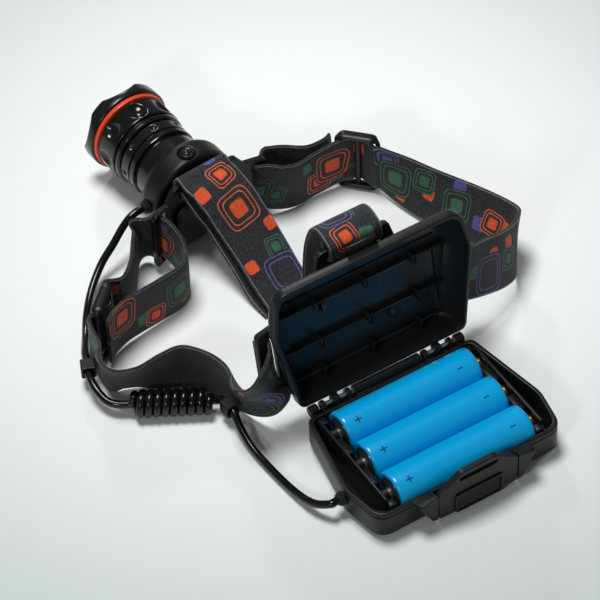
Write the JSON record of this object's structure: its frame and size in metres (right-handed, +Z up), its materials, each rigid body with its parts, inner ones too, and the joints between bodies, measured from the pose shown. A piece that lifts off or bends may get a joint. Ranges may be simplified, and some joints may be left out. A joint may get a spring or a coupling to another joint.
{
  "type": "headlamp",
  "caption": "Zoom headlamp on a forehead plate with patterned elastic straps, a curly cable and a hinged battery box, shown open with its cells.",
  "frame": {"origin": "middle of the cell tray's base, where the tray stands on the table", "axes": "+X along the cells, +Y from the tray towards the lamp, +Z up from the table"},
  "size_m": [0.1938, 0.25, 0.0797],
  "materials": {
    "box_plastic": "moulded, fine satin texture",
    "grip_plastic": "moulded, slightly rough",
    "pin_steel": "drawn",
    "cell_wrap": "shrunk sleeve",
    "contact_brass": "plated",
    "board_green": "laminate with solder mask",
    "black_rubber": "smooth jacket",
    "black_anodised": "black anodised",
    "accent_orange": "orange anodised",
    "lens_clear": "clear",
    "bare_aluminium": "turned",
    "phosphor": "phosphor gel",
    "head_plastic": "moulded",
    "button_rubber": "moulded",
    "foam": "open-cell foam",
    "webbing": "elastic jacquard webbing with a printed pattern"
  },
  "bodies": {
    "harness": {"strap_lid": "box_plastic", "tilt_pin": "pin_steel", "forehead_plate": "head_plastic", "forehead_pad": "foam", "top_strap": "webbing", "left_strap": "webbing", "right_strap": "webbing", "left_slider": "grip_plastic", "right_slider": "grip_plastic", "cable_lamp_run": "black_rubber", "cable_mid_run": "black_rubber", "cable_coil": "black_rubber", "cable_box_run": "black_rubber", "clip_one": "box_plastic", "clip_two": "box_plastic"},
    "tray": {"battery_tray": "box_plastic", "hinge_pins": "pin_steel", "latch_pin": "pin_steel", "cell_rear": "cell_wrap", "cell_middle": "cell_wrap", "cell_front": "cell_wrap", "cell_caps": "pin_steel", "spring_board": "board_green", "contact_springs": "contact_brass", "tab_board": "board_green", "contact_tabs": "contact_brass", "tray_gland": "black_rubber"},
    "latch_rocker": {"latch": "box_plastic", "latch_grip": "grip_plastic"},
    "lamp": {"lamp_barrel": "black_anodised", "barrel_oring": "black_rubber", "led_pill": "bare_aluminium", "led_board": "bare_aluminium", "led_emitter": "phosphor", "driver_board": "board_green", "rear_housing": "head_plastic", "button_switch": "head_plastic", "lamp_gland": "black_rubber"},
    "zoom_head": {"bezel": "black_anodised", "accent_ring": "accent_orange", "zoom_sleeve": "black_anodised", "lens": "lens_clear"},
    "button": {"power_button": "button_rubber"}
  },
  "joints": [
    {"name": "box_hinge", "type": "hinge", "parent": "harness", "child": "tray", "pos_m": [0, 0.03205, 0.015], "axis": [-1, 0, 0], "range_deg": [0, 100]},
    {"name": "latch_pivot", "type": "hinge", "parent": "tray", "child": "latch_rocker", "pos_m": [0, -0.03315, 0.014], "axis": [1, 0, 0], "range_deg": [0, 10]},
    {"name": "lamp_tilt", "type": "hinge", "parent": "harness", "child": "lamp", "pos_m": [-0.01376, 0.15481, 0.0043], "axis": [-0.9962, -0.0872, 0], "range_deg": [0, 40]},
    {"name": "zoom_slide", "type": "slide", "parent": "lamp", "child": "zoom_head", "axis": [-0.0872, 0.9962, 0], "range_m": [0, 0.007]},
    {"name": "button_press", "type": "slide", "parent": "lamp", "child": "button", "axis": [0, 0, -1], "range_m": [0, 0.0008], "stiffness_N_per_m": 400}
  ]
}
